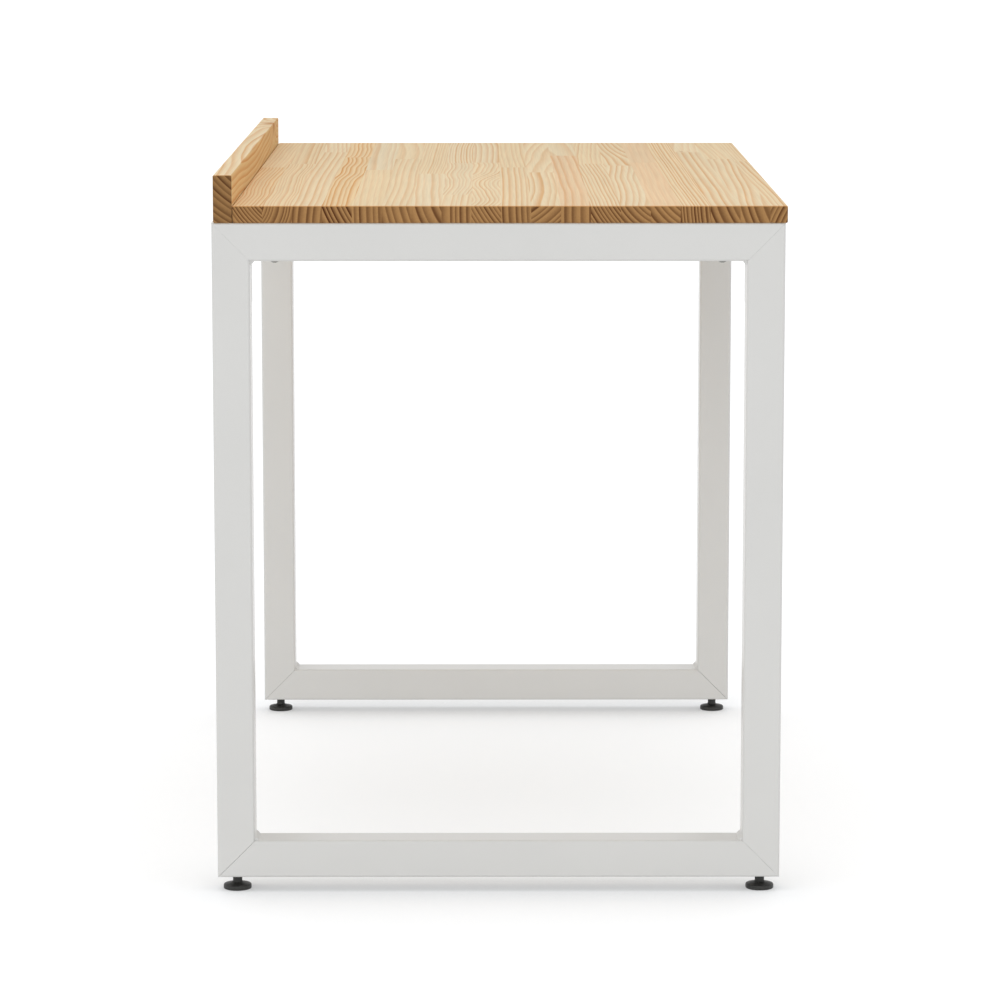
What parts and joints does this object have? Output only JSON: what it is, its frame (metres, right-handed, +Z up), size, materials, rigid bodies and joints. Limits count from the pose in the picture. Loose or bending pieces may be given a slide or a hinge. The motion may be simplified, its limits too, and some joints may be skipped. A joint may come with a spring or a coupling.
{
  "type": "office desk",
  "caption": "Office desk with a pine top and rear upstand on closed-loop end frames of white square steel tube, with levelling feet that screw in and out.",
  "frame": {"origin": "on the floor under the centre of the desk's box", "axes": "+Z up, X along the desk's length, front towards -Y, upstand at +Y"},
  "size_m": [1, 0.602, 0.766],
  "materials": {
    "powder_coated_steel": "smooth satin white powder coat on steel",
    "pine": "clear matt varnish on glued pine staves",
    "zinc_plated_steel": "bright zinc plated steel",
    "beech": "bare beech",
    "black_nylon": "moulded black nylon"
  },
  "bodies": {
    "desk": {"left_top_rail": "powder_coated_steel", "left_bottom_rail": "powder_coated_steel", "left_front_leg": "powder_coated_steel", "left_rear_leg": "powder_coated_steel", "right_top_rail": "powder_coated_steel", "right_bottom_rail": "powder_coated_steel", "right_front_leg": "powder_coated_steel", "right_rear_leg": "powder_coated_steel", "front_rail": "powder_coated_steel", "rear_rail": "powder_coated_steel", "front_rail_left_plate": "powder_coated_steel", "front_rail_right_plate": "powder_coated_steel", "rear_rail_left_plate": "powder_coated_steel", "rear_rail_right_plate": "powder_coated_steel", "left_frame_welds": "powder_coated_steel", "right_frame_welds": "powder_coated_steel", "rail_welds": "powder_coated_steel", "tabletop": "pine", "upstand": "pine", "rail_bolts": "zinc_plated_steel", "rail_bolt_inserts": "zinc_plated_steel", "foot_inserts": "zinc_plated_steel", "end_rail_screws": "zinc_plated_steel", "front_rail_screws": "zinc_plated_steel", "upstand_screws": "zinc_plated_steel", "upstand_dowels": "beech"},
    "left_front_stud": {"left_front_stud": "zinc_plated_steel"},
    "left_rear_stud": {"left_rear_stud": "zinc_plated_steel"},
    "right_front_stud": {"right_front_stud": "zinc_plated_steel"},
    "right_rear_stud": {"right_rear_stud": "zinc_plated_steel"},
    "left_front_glide": {"left_front_glide": "black_nylon"},
    "left_rear_glide": {"left_rear_glide": "black_nylon"},
    "right_front_glide": {"right_front_glide": "black_nylon"},
    "right_rear_glide": {"right_rear_glide": "black_nylon"}
  },
  "joints": [
    {"name": "left_front_foot_screw", "type": "slide", "parent": "desk", "child": "left_front_stud", "axis": [0, 0, -1], "range_m": [0, 0.01]},
    {"name": "left_front_foot_turn", "type": "hinge", "parent": "left_front_stud", "child": "left_front_glide", "pos_m": [-0.48, -0.279, 0], "axis": [0, 0, -1], "range_deg": [0, 3600]},
    {"name": "left_rear_foot_screw", "type": "slide", "parent": "desk", "child": "left_rear_stud", "axis": [0, 0, -1], "range_m": [0, 0.01]},
    {"name": "left_rear_foot_turn", "type": "hinge", "parent": "left_rear_stud", "child": "left_rear_glide", "pos_m": [-0.48, 0.281, 0], "axis": [0, 0, -1], "range_deg": [0, 3600]},
    {"name": "right_front_foot_screw", "type": "slide", "parent": "desk", "child": "right_front_stud", "axis": [0, 0, -1], "range_m": [0, 0.01]},
    {"name": "right_front_foot_turn", "type": "hinge", "parent": "right_front_stud", "child": "right_front_glide", "pos_m": [0.48, -0.279, 0], "axis": [0, 0, -1], "range_deg": [0, 3600]},
    {"name": "right_rear_foot_screw", "type": "slide", "parent": "desk", "child": "right_rear_stud", "axis": [0, 0, -1], "range_m": [0, 0.01]},
    {"name": "right_rear_foot_turn", "type": "hinge", "parent": "right_rear_stud", "child": "right_rear_glide", "pos_m": [0.48, 0.281, 0], "axis": [0, 0, -1], "range_deg": [0, 3600]}
  ],
  "couplings": [
    {"joint": "left_front_foot_screw", "follows": "left_front_foot_turn", "m_per_rad": 0.00015915},
    {"joint": "left_rear_foot_screw", "follows": "left_rear_foot_turn", "m_per_rad": 0.00015915},
    {"joint": "right_front_foot_screw", "follows": "right_front_foot_turn", "m_per_rad": 0.00015915},
    {"joint": "right_rear_foot_screw", "follows": "right_rear_foot_turn", "m_per_rad": 0.00015915}
  ]
}
